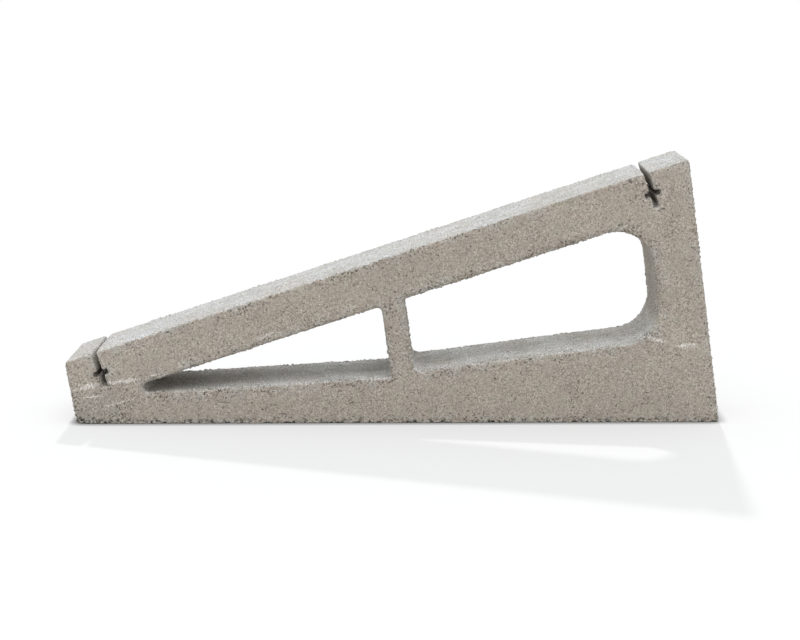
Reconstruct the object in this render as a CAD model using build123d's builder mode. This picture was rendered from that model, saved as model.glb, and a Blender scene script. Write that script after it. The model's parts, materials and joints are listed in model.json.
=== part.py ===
"""Solar ballast mount: one wedge of dry-cast concrete that carries a tilted solar panel by its weight.

The block is one casting with the same section all the way across. Its flat underside rests on the
roof and its sloping top is the panel seat. Two windows with a web between them lighten it. Near each
end a cross-shaped slot runs across the seat: the bolt of a panel clamp stands in the slot's neck, the
arms hold the bolt's head, and the stem below the arms gives the end of the bolt room.

Frame: X runs along the block from the low end to the high end, Y across it, and Z up from the
underside. The origin is on the underside, midway along and midway across.
Lengths are in millimetres and angles in degrees.
"""

import os
from math import cos, radians, sin, tan

from build123d import *

# Outline of the block
base_length = 987.5  # the underside, between its low and high corners
block_width = 150.0  # across the block
panel_tilt = 18.0  # slope of the seat above the underside
low_end_height = 96.2  # height of the seat's low corner
low_end_lean = 9.0  # the low end leans outwards from the vertical
cross_lean = 7.8  # the high end, its post and the web all lean back together
outline_radius = 4.0  # the outline's four corners

# Members round the windows
top_chord = 69.0  # between the seat and the windows
end_post = 70.5  # between the high end and the high window
web_thickness = 36.0
web_station = 474.5  # along the underside, from its high corner to the web's middle
low_sill_height = 71.5  # the low window's sill, where it meets the web
low_sill_slope = 3.5
high_sill_height = 80.5  # the high window's sill, where it meets the web
high_sill_slope = 7.3

# Corners of the windows
tip_radius = 8.0  # the low window's tip and its top corner at the web
low_sill_radius = 2.5  # the low window's bottom corner at the web
web_top_radius = 4.0  # the high window's top corner at the web
web_sill_radius = 9.0  # the high window's bottom corner at the web
post_radius = 57.0  # the high window's two corners at the end post

# Clamp slots
low_slot_station = 47.0  # along the seat, from its low corner
high_slot_station = 67.0  # along the seat, from its high corner
neck_width = 8.5
arm_span = 24.0
arm_height = 8.5
arm_depth = 33.0  # square to the seat, down to the middle of the arms
slot_depth = 54.0  # square to the seat, down to the bottom of the stem
slot_radius = 1.5  # the slot's corners
mouth_radius = 1.3  # the seat's edges at the slot

# Rounded arrises along the two side faces
outer_arris = 1.2
window_arris = 6.0


def crossing(point_a, angle_a, point_b, angle_b):
    """Corner where a line through point_a at angle_a meets a line through point_b at angle_b."""
    ax, az = point_a
    bx, bz = point_b
    ux, uz = cos(radians(angle_a)), sin(radians(angle_a))
    vx, vz = cos(radians(angle_b)), sin(radians(angle_b))
    along = ((bx - ax) * vz - (bz - az) * vx) / (ux * vz - uz * vx)
    return (ax + along * ux, az + along * uz)


def from_seat(corner, station, depth):
    """Point a distance up the seat from one of its corners and a depth square below it."""
    x, z = corner
    slope = radians(panel_tilt)
    return (
        x + station * cos(slope) + depth * sin(slope),
        z + station * sin(slope) - depth * cos(slope),
    )


def corner_at(vertices, point):
    """The vertex of a section that stands at a point."""
    return vertices.sort_by_distance((point[0], point[1], 0))[0]


# Corners of the outline. The origin is midway between the low crest and the high foot.
overhang = low_end_height * tan(radians(low_end_lean))
high_foot = ((base_length + overhang) / 2, 0)
low_foot = (high_foot[0] - base_length, 0)
low_crest = (low_foot[0] - overhang, low_end_height)
cross_angle = 90 + cross_lean
high_crest = crossing(low_crest, panel_tilt, high_foot, cross_angle)

# A point on the line of each member
ceiling = from_seat(low_crest, 0, top_chord)
post_foot = (high_foot[0] - end_post / cos(radians(cross_lean)), 0)
web_half = web_thickness / 2 / cos(radians(cross_lean))
web_low_foot = (high_foot[0] - web_station - web_half, 0)
web_high_foot = (high_foot[0] - web_station + web_half, 0)

# Corners of the windows: the low one has three and the high one four
low_sill = crossing((0, low_sill_height), 0, web_low_foot, cross_angle)
low_window_tip = crossing(low_sill, low_sill_slope, ceiling, panel_tilt)
low_window_top = crossing(ceiling, panel_tilt, web_low_foot, cross_angle)
high_sill = crossing((0, high_sill_height), 0, web_high_foot, cross_angle)
high_window_top = crossing(ceiling, panel_tilt, web_high_foot, cross_angle)
post_sill = crossing(high_sill, high_sill_slope, post_foot, cross_angle)
post_top = crossing(ceiling, panel_tilt, post_foot, cross_angle)

# Where the middle of each slot crosses the seat
slot_mouths = (
    from_seat(low_crest, low_slot_station, 0),
    from_seat(high_crest, -high_slot_station, 0),
)

with BuildPart() as ballast_block:
    with BuildSketch(Plane.XZ) as section:
        # Outline
        with BuildLine():
            Polyline(low_foot, high_foot, high_crest, low_crest, close=True)
        make_face()
        fillet(section.vertices(), outline_radius)

        # Low window
        with BuildSketch(mode=Mode.SUBTRACT) as low_window:
            with BuildLine():
                Polyline(low_window_tip, low_sill, low_window_top, close=True)
            make_face()
            fillet(corner_at(low_window.vertices(), low_sill), low_sill_radius)
            fillet(corner_at(low_window.vertices(), low_window_tip), tip_radius)
            fillet(corner_at(low_window.vertices(), low_window_top), tip_radius)

        # High window
        with BuildSketch(mode=Mode.SUBTRACT) as high_window:
            with BuildLine():
                Polyline(high_sill, post_sill, post_top, high_window_top, close=True)
            make_face()
            fillet(corner_at(high_window.vertices(), high_window_top), web_top_radius)
            fillet(corner_at(high_window.vertices(), high_sill), web_sill_radius)
            fillet(corner_at(high_window.vertices(), post_sill), post_radius)
            fillet(corner_at(high_window.vertices(), post_top), post_radius)

        # Clamp slots, each a slit square to the seat with two arms across it
        for mouth in slot_mouths:
            with BuildSketch(mode=Mode.SUBTRACT) as clamp_slot:
                with Locations(Location((mouth[0], mouth[1], 0), (0, 0, panel_tilt))):
                    Rectangle(neck_width, 2 * slot_depth)
                    with Locations((0, -arm_depth)):
                        Rectangle(arm_span, arm_height)
                fillet(clamp_slot.vertices(), slot_radius)
        for mouth in slot_mouths:
            for side in (-1, 1):
                lip = from_seat(mouth, side * neck_width / 2, 0)
                fillet(corner_at(section.vertices(), lip), mouth_radius)
    extrude(amount=block_width / 2, both=True)

    # Arrises of the two side faces: first round the windows, then round the outline and slots
    side_faces = ballast_block.faces().filter_by(Axis.Y)
    window_wires = [wire for face in side_faces for wire in face.inner_wires()]
    fillet([edge for wire in window_wires for edge in wire.edges()], window_arris)
    side_faces = ballast_block.faces().filter_by(Axis.Y)
    outline_wires = [face.outer_wire() for face in side_faces]
    fillet([edge for wire in outline_wires for edge in wire.edges()], outer_arris)

ballast_block.part.label = "ballast_block"

os.makedirs("parts", exist_ok=True)
export_step(ballast_block.part, "parts/ballast_block.step")
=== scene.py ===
# %% [markdown]
# # A weathered concrete ballast block
#
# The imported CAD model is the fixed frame: a wedge of dry-cast concrete that carries a solar panel.
# This notebook gives it the looks of the real casting. It sets up the camera, the floor and the
# light. Then it turns the smooth CAD solid into a dense mesh, roughens its faces, crumbles its
# arrises and wears its corners. It ends with the concrete itself, as a procedural material.

import json
from math import radians, tan

import bmesh
import bpy
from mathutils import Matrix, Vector, kdtree, noise

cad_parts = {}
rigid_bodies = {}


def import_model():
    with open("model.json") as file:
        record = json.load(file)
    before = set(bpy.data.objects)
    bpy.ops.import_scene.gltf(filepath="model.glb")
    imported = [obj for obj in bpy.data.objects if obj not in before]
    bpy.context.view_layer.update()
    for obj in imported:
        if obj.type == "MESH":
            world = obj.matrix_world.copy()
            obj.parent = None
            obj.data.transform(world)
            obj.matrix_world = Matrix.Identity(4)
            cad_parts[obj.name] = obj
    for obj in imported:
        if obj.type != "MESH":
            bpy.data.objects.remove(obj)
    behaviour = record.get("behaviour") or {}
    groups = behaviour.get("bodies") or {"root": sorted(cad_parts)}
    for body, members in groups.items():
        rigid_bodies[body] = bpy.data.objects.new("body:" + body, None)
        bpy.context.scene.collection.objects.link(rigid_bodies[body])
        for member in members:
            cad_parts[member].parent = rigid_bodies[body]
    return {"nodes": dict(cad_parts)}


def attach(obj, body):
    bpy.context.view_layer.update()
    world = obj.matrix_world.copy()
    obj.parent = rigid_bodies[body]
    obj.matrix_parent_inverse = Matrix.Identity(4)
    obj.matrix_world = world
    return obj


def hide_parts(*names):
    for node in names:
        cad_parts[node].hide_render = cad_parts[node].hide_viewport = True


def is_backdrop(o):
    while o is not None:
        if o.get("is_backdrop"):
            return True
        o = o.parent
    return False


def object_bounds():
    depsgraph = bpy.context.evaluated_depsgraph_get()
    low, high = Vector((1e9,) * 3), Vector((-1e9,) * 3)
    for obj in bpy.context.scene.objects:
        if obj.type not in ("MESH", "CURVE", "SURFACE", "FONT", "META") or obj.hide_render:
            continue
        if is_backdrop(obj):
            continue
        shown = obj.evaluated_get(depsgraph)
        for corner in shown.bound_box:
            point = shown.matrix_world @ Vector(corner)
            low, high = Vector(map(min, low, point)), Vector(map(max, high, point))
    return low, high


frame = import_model()
cad_low, cad_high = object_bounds()
cad_block = frame["nodes"]["ballast_block"]
print("CAD box, metres:", [round(v, 4) for v in (*cad_low, *cad_high)])

# %% [markdown]
# ## The block's own lines
#
# The wear and the colours follow three things on the block: its two side faces, the line of the
# sloping seat, and the two clamp slots. They are named once here, in metres, with x along the block,
# y across it from the front face to the back one, and z up. The seat is a flat slope, so its height
# at x = 0 is the largest that any point of the block reaches once the slope is taken off.

# %% Lines that the wear follows
MM = 0.001
half_width = cad_high.y
seat_slope = tan(radians(18.0))
seat_at_middle = max(vertex.co.z - seat_slope * vertex.co.x for vertex in cad_block.data.vertices)
slot_middles = ((-446.5 * MM, 83.0 * MM), (391.5 * MM, 354.0 * MM))
print("the seat is this high at x = 0, metres:", round(seat_at_middle, 4))

# %% [markdown]
# ## Camera
#
# The camera stands almost square to the block's side face, nearly three metres away and a little
# above it, so the sloping seat and the sills of the windows show as narrow bands. A long lens keeps
# the two ends at about the same scale.

# %% Camera
bpy.ops.object.camera_add(
    location=(0.0386, -2.8337, 0.6841),
    rotation=(radians(79.266), radians(0.291), radians(0.488)),
)
camera = bpy.context.object
camera.name = "camera"
camera.data.lens = 83.12
camera.data.sensor_width = 36.0
bpy.context.scene.camera = camera
print("the camera is this far away, metres:", round(camera.location.length, 2))

# %% [markdown]
# ## World
#
# A white background could come from a very bright world, but that would also bleach the block. Here
# the world lights the block as a plain even sky, and a second background of strength 1 answers only
# the rays that look at it. Light Path tells the two kinds of ray apart, and two small helpers join
# its outputs.


# %% World
def maths(operation, *values, clamp=False):
    """A Math node in the tree that `nodes` and `links` name. Each value is a socket or a number."""
    node = nodes.new("ShaderNodeMath")
    node.operation = operation
    node.use_clamp = clamp
    for slot, value in zip(node.inputs, values):
        if isinstance(value, (int, float)):
            slot.default_value = value
        else:
            links.new(value, slot)
    return node.outputs[0]


def seen_rays():
    """1 for a camera, glossy or transmission ray, and 0 for the light that falls on the block."""
    path = nodes.new("ShaderNodeLightPath").outputs
    seen_or_glossy = maths("MAXIMUM", path["Is Camera Ray"], path["Is Glossy Ray"])
    return maths("MAXIMUM", seen_or_glossy, path["Is Transmission Ray"])


world = bpy.data.worlds.new("studio")
bpy.context.scene.world = world
world.use_nodes = True
nodes = world.node_tree.nodes
links = world.node_tree.links
nodes.clear()
sky_light = nodes.new("ShaderNodeBackground")
sky_light.inputs["Color"].default_value = (0.97, 0.985, 1.0, 1.0)
sky_light.inputs["Strength"].default_value = 1.0
sky_seen = nodes.new("ShaderNodeBackground")
sky_seen.inputs["Color"].default_value = (1.0, 1.0, 1.0, 1.0)
sky_seen.inputs["Strength"].default_value = 1.0
mix = nodes.new("ShaderNodeMixShader")
world_out = nodes.new("ShaderNodeOutputWorld")
links.new(seen_rays(), mix.inputs[0])
links.new(sky_light.outputs[0], mix.inputs[1])
links.new(sky_seen.outputs[0], mix.inputs[2])
links.new(mix.outputs[0], world_out.inputs["Surface"])
print("world nodes:", len(nodes))

# %% [markdown]
# ## Floor
#
# A plain white floor would need strong light to look white. This one is a pale diffuse plane for the
# light that bounces off it. For the rays that look at it, most of its brightness is a steady glow, so
# it is as white as the world behind it, but it still darkens a little where a shadow falls. A glow
# casts no shadow, so an Ambient Occlusion node takes it away along the line where the block stands.

# %% Floor
bpy.ops.mesh.primitive_plane_add(size=30.0, location=(0.0, 0.0, 0.0))
floor = bpy.context.object
floor.name = "floor"
floor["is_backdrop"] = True
floor_material = bpy.data.materials.new("floor")
floor.data.materials.append(floor_material)
floor_material.use_nodes = True
nodes = floor_material.node_tree.nodes
links = floor_material.node_tree.links
nodes.clear()
bounce = nodes.new("ShaderNodeBsdfDiffuse")
bounce.inputs["Color"].default_value = (0.55, 0.55, 0.55, 1.0)
shade = nodes.new("ShaderNodeBsdfDiffuse")
shade.inputs["Color"].default_value = (0.25, 0.25, 0.25, 1.0)
open_sky = nodes.new("ShaderNodeAmbientOcclusion")
open_sky.inputs["Distance"].default_value = 18 * MM
glow = nodes.new("ShaderNodeEmission")
glow.inputs["Color"].default_value = (1.0, 1.0, 1.0, 1.0)
contact = maths("POWER", open_sky.outputs["AO"], 3.0)
links.new(maths("MULTIPLY", contact, 0.51), glow.inputs["Strength"])
seen = nodes.new("ShaderNodeAddShader")
mix = nodes.new("ShaderNodeMixShader")
floor_out = nodes.new("ShaderNodeOutputMaterial")
links.new(shade.outputs[0], seen.inputs[0])
links.new(glow.outputs[0], seen.inputs[1])
links.new(seen_rays(), mix.inputs[0])
links.new(bounce.outputs[0], mix.inputs[1])
links.new(seen.outputs[0], mix.inputs[2])
links.new(mix.outputs[0], floor_out.inputs["Surface"])
print("floor nodes:", len(nodes))

# %% [markdown]
# ## Lamps
#
# Area lamps would do, but a sun lights the whole block alike, wherever it stands. The overhead lamp
# makes the seat the brightest face, and the front lamp keeps the side face from going dull. Both are
# very soft. The shadow lamp stands behind the block. Light linking lets it light the floor alone, so
# it draws the block's shadow towards the camera and adds no light to the block.


# %% Lamps
def sun(name, tilt, turn, energy, softness):
    """A sun lamp. A positive tilt brings its light from the front, and all angles are in degrees."""
    bpy.ops.object.light_add(type="SUN", rotation=(radians(tilt), 0.0, radians(turn)))
    lamp = bpy.context.object
    lamp.name = name
    lamp.data.energy = energy
    lamp.data.angle = radians(softness)
    print("lamp:", name, energy)
    return lamp


sun("overhead", tilt=8.0, turn=0.0, energy=1.55, softness=60.0)
sun("front_fill", tilt=55.0, turn=12.0, energy=0.30, softness=60.0)
shadow_lamp = sun("shadow_lamp", tilt=-51.5, turn=2.4, energy=2.4, softness=3.0)
lit_by_shadow_lamp = bpy.data.collections.new("lit_by_shadow_lamp")
lit_by_shadow_lamp.objects.link(floor)
shadow_lamp.light_linking.receiver_collection = lit_by_shadow_lamp

bpy.context.scene.view_settings.view_transform = "Standard"

# %% [markdown]
# ## The casting
#
# The real block is one casting, so its own CAD solid is the start and nothing is added to it. A bump
# map alone would leave the outline ruler-straight, and sculpting by hand can't be repeated. So a copy
# of the CAD mesh is cut into small even faces, which modifiers can then push about. The CAD mesh
# arrives as loose triangles, so the copy is merged first.

# %% Copy and merge
bpy.ops.object.select_all(action="DESELECT")
cad_block.select_set(True)
bpy.context.view_layer.objects.active = cad_block
bpy.ops.object.duplicate()
block = bpy.context.object
block.name = "weathered_block"
bpy.ops.object.parent_clear(type="CLEAR_KEEP_TRANSFORM")
bpy.ops.object.mode_set(mode="EDIT")
bpy.ops.mesh.select_all(action="SELECT")
bpy.ops.mesh.remove_doubles(threshold=0.02 * MM)
bpy.ops.object.mode_set(mode="OBJECT")
print("vertices after the merge:", len(block.data.vertices))

# %% [markdown]
# ## Where the arrises are
#
# A casting wears along its arrises, so every later step asks how far a point is from one. The CAD
# mesh only has vertices within 7 mm of a side face on the rounded arrises. Points every 2 mm along
# the edges there go into a KD-tree, which finds the nearest of them at once. An edge that crosses
# the block or lies in a flat side face is no arris.

# %% Arris points
arris_reach = 7 * MM
shell = bmesh.new()
shell.from_mesh(block.data)
shell.normal_update()
arris_points = []
for edge in shell.edges:
    start, end = (vertex.co.copy() for vertex in edge.verts)
    if min(abs(start.y), abs(end.y)) < half_width - arris_reach or start.y * end.y < 0:
        continue
    if all(abs(face.normal.y) > 0.99 for face in edge.link_faces):
        continue
    steps = max(1, int((end - start).length / (2 * MM)))
    arris_points += [start.lerp(end, i / steps) for i in range(steps + 1)]
shell.free()
arris_tree = kdtree.KDTree(len(arris_points))
for i, point in enumerate(arris_points):
    arris_tree.insert(point, i)
arris_tree.balance()
print("points along the arrises:", len(arris_points))

# %% [markdown]
# ## Small even faces
#
# Subdividing would keep the CAD mesh's long slivers. A voxel remesh builds the same closed shape anew
# from even quads, small enough to carry pits and crumbs.

# %% Remesh
bpy.ops.object.modifier_add(type="REMESH")
remesh = block.modifiers["Remesh"]
remesh.mode = "VOXEL"
remesh.voxel_size = 1.5 * MM
remesh.adaptivity = 0.0
bpy.ops.object.modifier_apply(modifier=remesh.name)
print("vertices after the remesh:", len(block.data.vertices))

# %% [markdown]
# ## Where it wears
#
# Vertex groups say where each kind of wear works and how strongly. `arris` is 1 on the arrises and
# fades out 8 mm away, and a noise makes it patchy. `foot` is 1 along the bottom edges, which crumble
# the most, and `rim` along the edges of the seat, which are rubbed round. `toe` is the worn corner
# under the low end. `slots` holds the inner walls of the clamp slots. `draft` is the web's wall in
# the high window, which leans back a little so that the mould's core could leave.


# %% Vertex groups
def weigh(name, vertex, weight):
    """Puts a vertex into a group, at a weight of at most 1. A weight of 0 or less leaves it out."""
    if weight > 0:
        groups[name].add([vertex.index], min(1.0, weight), "REPLACE")


groups = {}
for name in ("arris", "foot", "toe", "rim", "slots", "draft"):
    groups[name] = block.vertex_groups.new(name=name)
toe_x = min(vertex.co.x for vertex in block.data.vertices if vertex.co.z < 3 * MM)
for vertex in block.data.vertices:
    place = vertex.co
    from_side = half_width - abs(place.y)
    from_slot = min(Vector((place.x - x, place.z - z)).length for x, z in slot_middles)
    if from_slot < 32 * MM:
        weigh("slots", vertex, from_side / (10 * MM) - 1.0)
    depth = place.y / (2 * half_width) + 0.5
    if abs(place.x) < 40 * MM and vertex.normal.x > 0.6 and depth > 0.03:
        weigh("draft", vertex, depth)
    weigh("toe", vertex, 1.0 - Vector((place.x - toe_x, place.z)).length / (14 * MM))
    near = 1.0 - arris_tree.find(place)[2] / (8 * MM)
    if near > 0:
        low = max(0.0, 1.0 - place.z / (14 * MM))
        weigh("foot", vertex, near * low * 1.5)
        if seat_at_middle + seat_slope * place.x - place.z < 12 * MM:
            weigh("rim", vertex, near * 1.6)
        away = min(1.0, max(0.0, from_slot / (25 * MM) - 1.0))
        patchy = max(0.15, 0.6 + 0.9 * noise.noise(place * 24.0))
        weigh("arris", vertex, near * away * (1.0 - low) * patchy)
print("vertex groups:", ", ".join(groups))

# %% [markdown]
# ## Rubbed seat
#
# Panels and hands have rubbed the seat's edges round. A Bevel needs clean edges, which the remeshed
# block no longer has, so the edges are relaxed by a Smooth modifier instead.

# %% Smooth the seat's edges
bpy.ops.object.modifier_add(type="SMOOTH")
rub = block.modifiers["Smooth"]
rub.factor = 0.5
rub.iterations = 12
rub.vertex_group = "rim"
print("rubbed edges, iterations:", rub.iterations)
bpy.ops.object.modifier_apply(modifier=rub.name)

# %% [markdown]
# ## Rough faces and crumbled arrises
#
# Dry-cast concrete is stripped while it is still crumbly. Its faces are slightly wavy, with a fine
# roughness, and bits break off its arrises. Each of these is a Displace modifier on one vertex
# group, pushed by a cloud texture of its own size. The slots' inner walls, the web's draft and the
# worn toe move evenly, so they have no texture.


# %% Displace
def displace(group, strength, middle, size=None, depth=2, contrast=1.0, intensity=1.0):
    """Moves a vertex group along its normals, by a cloud texture of a size if it is given one."""
    bpy.ops.object.modifier_add(type="DISPLACE")
    modifier = block.modifiers[-1]
    modifier.strength = strength
    modifier.mid_level = middle
    modifier.vertex_group = group
    if size:
        texture = bpy.data.textures.new(f"clouds_{size / MM:.0f}mm", type="CLOUDS")
        texture.noise_scale = size
        texture.noise_depth = depth
        texture.contrast = contrast
        texture.intensity = intensity
        texture.use_clamp = True
        modifier.texture = texture
        modifier.texture_coords = "LOCAL"
    bpy.ops.object.modifier_apply(modifier=modifier.name)
    print("displaced:", group or "all faces", round(strength / MM, 1), "mm")


displace("slots", 0.8 * MM, 0.0)
displace("draft", -3.2 * MM, 0.0)
displace("", 0.8 * MM, 0.5, size=30 * MM)
displace("", 0.6 * MM, 0.5, size=5 * MM, depth=1)
displace("arris", 4.4 * MM, 0.58, size=4 * MM, depth=3, contrast=2.4)
displace("foot", -8.0 * MM, 0.0, size=6 * MM, depth=3, contrast=6.0, intensity=0.4)
displace("toe", -7.0 * MM, 0.0)

# %% Flat base and side faces
# The block stands on its flat base, and no crumb stands proud of the two side faces.
face_limit = half_width + 0.6 * MM
for vertex in block.data.vertices:
    vertex.co.z = max(vertex.co.z, 0.0)
    vertex.co.y = max(-face_limit, min(face_limit, vertex.co.y))
print("side faces held at, metres:", round(face_limit, 4))

# %% [markdown]
# ## Fewer triangles
#
# Most of the quads lie on flat faces, where larger ones do as well. Decimate joins those first, down
# to a number that other programs open with ease.

# %% Decimate
most_triangles = 195000
bpy.ops.object.modifier_add(type="TRIANGULATE")
bpy.ops.object.modifier_apply(modifier="Triangulate")
triangles = len(block.data.polygons)
bpy.ops.object.modifier_add(type="DECIMATE")
block.modifiers["Decimate"].ratio = min(1.0, most_triangles / triangles)
bpy.ops.object.modifier_apply(modifier="Decimate")
bpy.ops.object.shade_smooth()
print("triangles:", triangles, "before and", len(block.data.polygons), "after")

# %% [markdown]
# ## Wear for the material
#
# The material can't ask the KD-tree, so the distance to an arris is written to a point attribute:
# 1 on the arrises and 0 from 16 mm away. Pits gather there.

# %% Wear attribute
wear_values = block.data.attributes.new("wear", "FLOAT", "POINT").data
for vertex, value in zip(block.data.vertices, wear_values):
    value.value = max(0.0, 1.0 - arris_tree.find(vertex.co)[2] / (16 * MM))
print("vertices with wear:", sum(value.value > 0 for value in wear_values))

# %% [markdown]
# ## The concrete
#
# Concrete is matt, and its looks come from many small things on top of each other: cement, sand,
# voids and dirt. A tiled picture would repeat and show seams at the corners. Noise on Object
# coordinates fills the solid block instead, so a grain runs on round every arris.

# %% Material
concrete = bpy.data.materials.new("dry_cast_concrete")
block.data.materials.clear()
block.data.materials.append(concrete)
concrete.use_nodes = True
nodes = concrete.node_tree.nodes
links = concrete.node_tree.links
shader = nodes["Principled BSDF"]
shader.inputs["Roughness"].default_value = 0.95
shader.inputs["Specular IOR Level"].default_value = 0.2
where = nodes.new("ShaderNodeTexCoord").outputs["Object"]
print("material:", concrete.name)


# %% Node helpers
def band(value, low, high):
    """0 below low, 1 above high and a smooth step between them. low may be the larger of the two."""
    node = nodes.new("ShaderNodeMapRange")
    node.interpolation_type = "SMOOTHSTEP"
    links.new(value, node.inputs["Value"])
    node.inputs["From Min"].default_value = min(low, high)
    node.inputs["From Max"].default_value = max(low, high)
    node.inputs["To Min"].default_value = 0.0 if low < high else 1.0
    node.inputs["To Max"].default_value = 1.0 if low < high else 0.0
    return node.outputs["Result"]


def clouds(scale, detail=2.0, rough=0.5, at=where):
    """Noise that lies around 0.5. The scale is in features per metre."""
    node = nodes.new("ShaderNodeTexNoise")
    links.new(at, node.inputs["Vector"])
    node.inputs["Scale"].default_value = scale
    node.inputs["Detail"].default_value = detail
    node.inputs["Roughness"].default_value = rough
    return node.outputs["Fac"]


def choose(amount, under, over):
    """A number that goes from under to over as amount goes from 0 to 1. All three are sockets."""
    node = nodes.new("ShaderNodeMix")
    for name, value in ((0, amount), (2, under), (3, over)):
        links.new(value, node.inputs[name])
    return node.outputs[0]


def blend(amount, under, over, mode="MIX"):
    """Lays one colour over another. amount, under and over are sockets or colours."""
    node = nodes.new("ShaderNodeMix")
    node.data_type = "RGBA"
    node.blend_type = mode
    for name, value in ((0, amount), (6, under), (7, over)):
        if isinstance(value, tuple):
            node.inputs[name].default_value = (*value, 1.0)
        else:
            links.new(value, node.inputs[name])
    return node.outputs[2]


# %% [markdown]
# ## Side faces and walls
#
# The block is cast lying on its side. Its two side faces are the top and bottom of the casting, and
# come out warm. All other faces come off the mould's steel walls, and are greyer. So the base colour
# goes by the distance from the middle plane, and on the walls by where they look: a sill or the seat
# is paler than a steep wall. The sills are painted paler still than the seat, painted light against
# the shade inside the windows. On the windows' rounded arrises, the part that looks up is grey too,
# and takes the sills' painted light.

# %% Which face
parts = nodes.new("ShaderNodeSeparateXYZ")
links.new(where, parts.inputs[0])
x, y, z = parts.outputs
facing = nodes.new("ShaderNodeSeparateXYZ")
links.new(nodes.new("ShaderNodeTexCoord").outputs["Normal"], facing.inputs[0])
facing_up = facing.outputs[2]
steep = band(facing_up, 0.6, 0.15)
looks_up = maths("MULTIPLY", band(facing_up, 0.1, 0.5), 4 * MM)
on_face = band(maths("SUBTRACT", maths("ABSOLUTE", y), looks_up), 67.0 * MM, 70.5 * MM)
seat_line = maths("SUBTRACT", z, maths("MULTIPLY", x, seat_slope))
at_seat = band(seat_line, seat_at_middle - 43.6 * MM, seat_at_middle - 18.6 * MM)
print("nodes that tell the faces apart:", len(nodes))

# %% Base colours
# The lower half of the side faces is a little paler: the upper half is painted darker, a painted
# shade against the stronger light there. The sills are painted darker towards the low window's tip,
# a painted shade in that narrow corner.
face_tone_and_painted_shade = blend(band(z, 110 * MM, 190 * MM), (0.326, 0.288, 0.246), (0.311, 0.273, 0.232))
# The sills: painted light, paler than the seat against the shade inside the windows, and painted
# shade, darker towards the low window's tip.
sill_painted_light_and_shade = blend(band(x, -210 * MM, -330 * MM), (0.530, 0.528, 0.513), (0.425, 0.420, 0.395))
seat_colour = (0.445, 0.445, 0.440)
steep_wall_colour = (0.375, 0.35, 0.312)
wall_colour = blend(steep, blend(at_seat, sill_painted_light_and_shade, seat_colour), steep_wall_colour)
colour = blend(on_face, wall_colour, face_tone_and_painted_shade)
print("nodes with the base colours:", len(nodes))

# %% [markdown]
# ## Stains
#
# No two batches of damp mix are alike, so broad patches are warmer or cooler, and a few are mossy.
# Cement from the seat ran over the arrises, which are grey in places. The low end is darker and
# greyer near its foot.

# %% Patches
stains = (
    (band(clouds(11.0, 4.0), 0.42, 0.62), (0.362, 0.310, 0.260)),
    (band(clouds(17.0, 4.0, 0.6), 0.5, 0.68), (0.305, 0.286, 0.255)),
    (band(clouds(42.0, 3.0), 0.5, 0.62), (0.325, 0.315, 0.250)),
)
for patches, stain_colour in stains:
    colour = blend(maths("MULTIPLY", patches, 0.3), colour, stain_colour)

wear = nodes.new("ShaderNodeAttribute")
wear.attribute_name = "wear"
wear = wear.outputs["Fac"]
spilt = maths("MULTIPLY", wear, band(clouds(38.0, 3.0, 0.6), 0.42, 0.6))
colour = blend(maths("MULTIPLY", spilt, 0.6), colour, (0.37, 0.355, 0.325))
print("broad stains:", len(stains))

# %% The rough corner at the low end's foot
from_corner = nodes.new("ShaderNodeVectorMath")
from_corner.operation = "DISTANCE"
links.new(where, from_corner.inputs[0])
from_corner.inputs[1].default_value = (-452 * MM, -half_width, 14 * MM)
rough_corner = band(from_corner.outputs["Value"], 70 * MM, 15 * MM)
colour = blend(maths("MULTIPLY", rough_corner, 0.5), colour, (0.27, 0.255, 0.228))
print("nodes with the stains:", len(nodes))

# %% [markdown]
# ## Grain and sand
#
# Every few millimetres the concrete is lighter or darker, and flatter in some patches. The mould's
# walls dragged that grain out across the block, so there it is twice as long and a little stronger.
# Pale grains of sand show on top of it.

# %% Grain
dragged = nodes.new("ShaderNodeMapping")
links.new(where, dragged.inputs["Vector"])
dragged.inputs["Scale"].default_value = (1.0, 0.45, 1.0)
grain = choose(on_face, clouds(500.0, 3.0, 0.7, dragged.outputs[0]), clouds(500.0, 3.0, 0.7))
contrast = maths("MULTIPLY", maths("SUBTRACT", grain, 0.5), 2.7)
contrast = maths("ADD", contrast, 0.5, clamp=True)
grain_depth = maths("MULTIPLY_ADD", band(clouds(26.0, 2.0), 0.58, 0.42), 0.2, 0.36)
deeper_on_walls = maths("SUBTRACT", 1.3, maths("MULTIPLY", on_face, 0.3))
colour = blend(maths("MULTIPLY", grain_depth, deeper_on_walls), colour, contrast, "OVERLAY")
print("nodes with the grain:", len(nodes))

# %% Sand
sand_patches = maths("MULTIPLY", band(clouds(30.0, 2.0), 0.45, 0.65), 0.05)
sand = band(maths("ADD", clouds(360.0, 1.0, 0.5), sand_patches), 0.665, 0.72)
colour = blend(maths("MULTIPLY", sand, 0.75), colour, (0.60, 0.55, 0.48))
print("nodes with the sand:", len(nodes))

# %% [markdown]
# ## Pits
#
# The pits are voids between the grains, small with ragged outlines. They are dark partly from dirt
# and partly from painted shade, the shade that falls into a void. They could be modelled one by one,
# but there are thousands. A noise that dips below a level makes them, and whatever lowers the noise
# gathers them: some patches, the arrises and the rough corner.

# %% Pits
pit_patches = maths("MULTIPLY", band(clouds(24.0, 3.0, 0.6), 0.40, 0.62), 0.055)
for gathers_pits in (wear, rough_corner):
    pit_patches = maths("ADD", pit_patches, maths("MULTIPLY", gathers_pits, 0.05))
pits = band(maths("SUBTRACT", clouds(290.0, 3.0, 0.62), pit_patches), 0.355, 0.295)
# The pits' near-black colour: dirt in the voids and the painted shade that falls into them.
colour = blend(maths("MULTIPLY", pits, 0.9), colour, (0.10, 0.086, 0.07))
print("nodes with the pits:", len(nodes))
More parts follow.
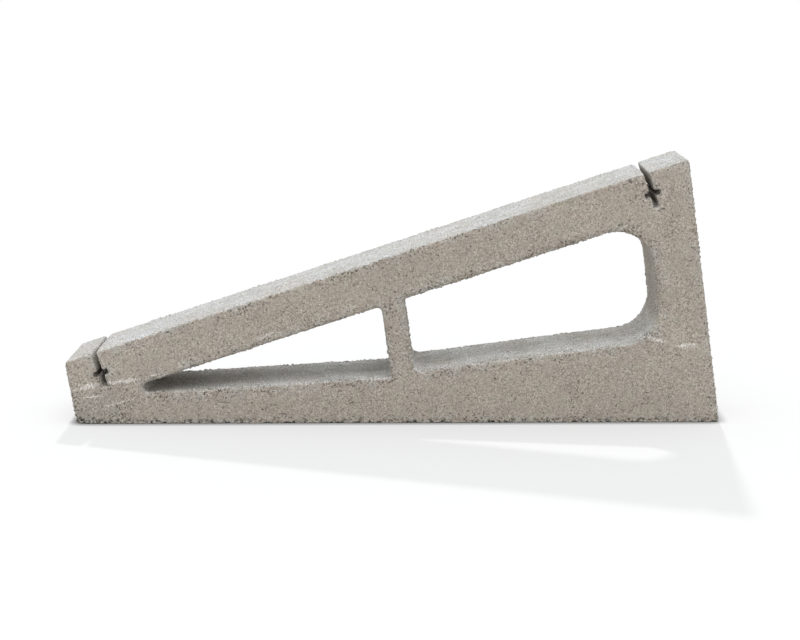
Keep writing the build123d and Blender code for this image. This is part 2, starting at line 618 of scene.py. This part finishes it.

# %% [markdown]
# ## Smears and a painted highlight
#
# When the mould was stripped, it left pale torn streaks on the front face, near the low end and the
# foot of the post. One more pale mark, along the arris above the low window's tip, is a painted
# highlight. Painting them would need a picture. Each is a flat ellipsoid instead, with its own place,
# size and slope: a Mapping node turns it into a unit ball, and the grain tears its outline.

# %% Smears and a painted highlight
# Each row: x and z of the middle, length and height in millimetres, slope in degrees, strength.
smears_and_highlight = (
    (-468.0, 58.5, 50.0, 9.0, 10.0, 1.0),
    (-414.0, 67.0, 54.0, 8.0, 6.0, 1.0),
    (-461.0, 42.5, 32.0, 4.0, 6.0, 0.9),
    (-420.0, 32.5, 66.0, 3.5, 15.5, 0.7),
    # Not a smear: a painted highlight along the arris above the low window's tip.
    (-366.0, 76.0, 26.0, 5.0, 14.0, 0.8),
    (-176.0, 52.0, 18.0, 3.0, 0.0, 0.9),
    (-190.0, 138.0, 34.0, 6.0, 18.0, 0.6),
    (405.0, 129.0, 34.0, 7.0, -14.0, 0.9),
    (447.0, 120.0, 32.0, 8.0, 4.0, 1.0),
)
pale_mark_depth = 12 * MM
torn = maths("MULTIPLY", maths("SUBTRACT", clouds(330.0, 4.0, 0.75), 0.5), 5.0)


def pale_mark(x_mid, z_mid, length, height, slope):
    """1 in the core of one pale mark and 0 outside its torn outline."""
    ball = nodes.new("ShaderNodeMapping")
    ball.vector_type = "TEXTURE"
    links.new(where, ball.inputs["Vector"])
    ball.inputs["Location"].default_value = (x_mid * MM, -half_width, z_mid * MM)
    ball.inputs["Rotation"].default_value = (0.0, -radians(slope), 0.0)
    ball.inputs["Scale"].default_value = (length / 2 * MM, pale_mark_depth, height / 2 * MM)
    from_middle = nodes.new("ShaderNodeVectorMath")
    from_middle.operation = "LENGTH"
    links.new(ball.outputs[0], from_middle.inputs[0])
    return band(maths("ADD", from_middle.outputs["Value"], torn), 0.95, 0.35)


streaks_and_highlight = 0.0
for *shape, strength in smears_and_highlight:
    streaks_and_highlight = maths("MAXIMUM", streaks_and_highlight, maths("MULTIPLY", pale_mark(*shape), strength))
flecks = maths("MULTIPLY_ADD", band(clouds(430.0, 2.0, 0.6), 0.44, 0.54), 0.8, 0.2)
streaks_and_highlight = maths("MULTIPLY", streaks_and_highlight, flecks)
# Pale marks: the smears, and the painted highlight above the low window's tip.
colour = blend(streaks_and_highlight, colour, (0.70, 0.665, 0.62))
links.new(colour, shader.inputs["Base Color"])
print("smears:", len(smears_and_highlight), "and nodes in all:", len(nodes))

# %% [markdown]
# ## Fine relief
#
# The mesh carries what shows on the outline. What is smaller than its faces is left to a bump: the
# grain, sand, smears and the painted highlight stand out, and the pits go in.

# %% Bump
height = maths("ADD", maths("MULTIPLY", grain, 0.5), maths("MULTIPLY", sand, 0.3))
height = maths("ADD", maths("SUBTRACT", height, pits), maths("MULTIPLY", streaks_and_highlight, 0.5))
bump = nodes.new("ShaderNodeBump")
bump.inputs["Strength"].default_value = 0.6
bump.inputs["Distance"].default_value = 0.8 * MM
links.new(height, bump.inputs["Height"])
links.new(bump.outputs["Normal"], shader.inputs["Normal"])
print("bump distance, mm:", round(bump.inputs["Distance"].default_value / MM, 2))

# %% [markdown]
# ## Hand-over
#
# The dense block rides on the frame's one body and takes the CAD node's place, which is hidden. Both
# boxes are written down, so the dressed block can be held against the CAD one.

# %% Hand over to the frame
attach(block, "root")
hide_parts("ballast_block")
low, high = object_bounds()
print("visual box, metres:", [round(v, 4) for v in (*low, *high)])
